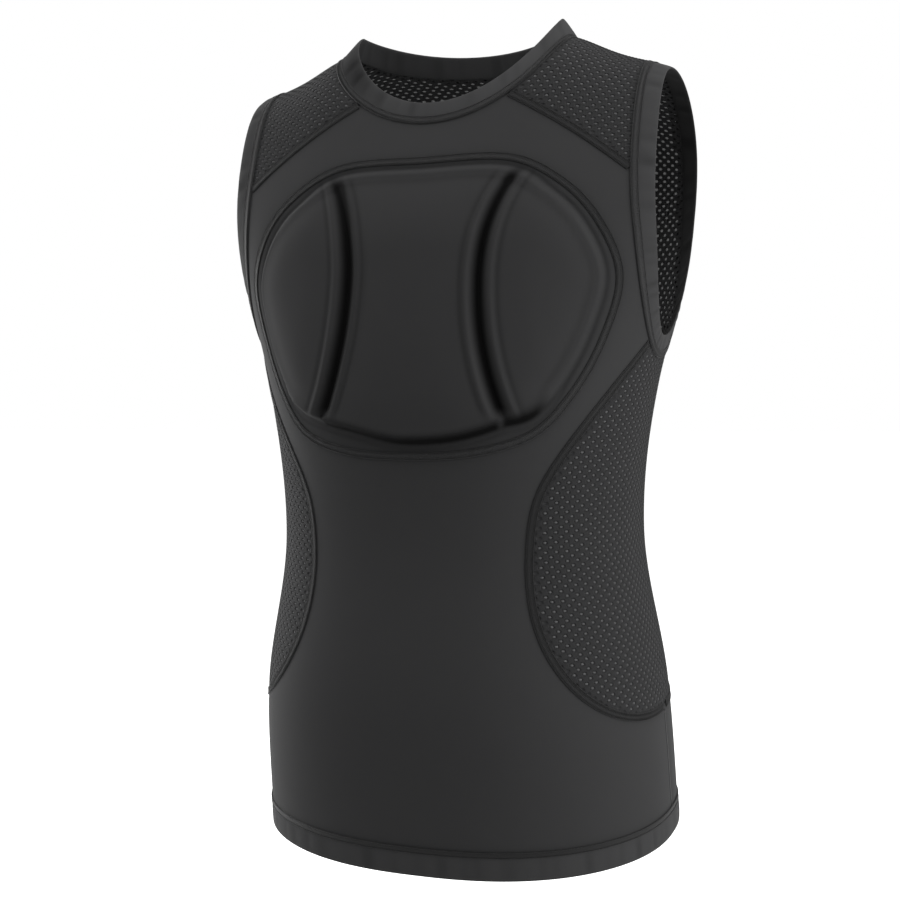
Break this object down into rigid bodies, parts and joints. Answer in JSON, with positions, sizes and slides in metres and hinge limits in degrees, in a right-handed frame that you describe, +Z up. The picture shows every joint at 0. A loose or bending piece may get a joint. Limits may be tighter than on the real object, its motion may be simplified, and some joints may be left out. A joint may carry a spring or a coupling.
{
  "type": "chest protector shirt",
  "caption": "Sleeveless close-fitting sports shirt with a quilted foam chest pad, mesh sides, bound armholes, a crew neck band and a stitched hem.",
  "frame": {"origin": "centre of the bottom hem, on the garment's mirror plane", "axes": "+Z up to the neck, -Y the front with the chest pad, +X the wearer's left side"},
  "size_m": [0.3502, 0.2825, 0.6549],
  "materials": {
    "knit": "smooth matte compression knit with a faint sheen",
    "pad_knit": "smooth matte stretch knit drawn over moulded foam",
    "mesh": "open eyelet mesh knit",
    "binding": "folded elastic binding",
    "foam": "closed-cell foam",
    "thread": "flat sewn seam of black thread"
  },
  "bodies": {
    "root": {"front_body_panel": "knit", "back_body_panel": "knit", "back_yoke": "mesh", "front_yoke_left": "mesh", "front_yoke_right": "mesh", "side_mesh_left": "mesh", "side_mesh_right": "mesh", "neck_band": "binding", "armhole_binding_left": "binding", "armhole_binding_right": "binding", "hem_band": "knit", "pad_cover": "pad_knit", "foam_left": "foam", "foam_centre": "foam", "foam_right": "foam", "pad_lining": "knit", "flatlock_pad": "thread", "flatlock_neck": "thread", "flatlock_armhole_left": "thread", "flatlock_armhole_right": "thread", "flatlock_yoke_left": "thread", "flatlock_yoke_right": "thread", "flatlock_shoulder_left": "thread", "flatlock_shoulder_right": "thread", "flatlock_back_yoke": "thread", "flatlock_side_front_left": "thread", "flatlock_side_front_right": "thread", "flatlock_side_back_left": "thread", "flatlock_side_back_right": "thread", "flatlock_side_low_left": "thread", "flatlock_side_low_right": "thread", "coverstitch_hem": "thread"}
  },
  "joints": []
}
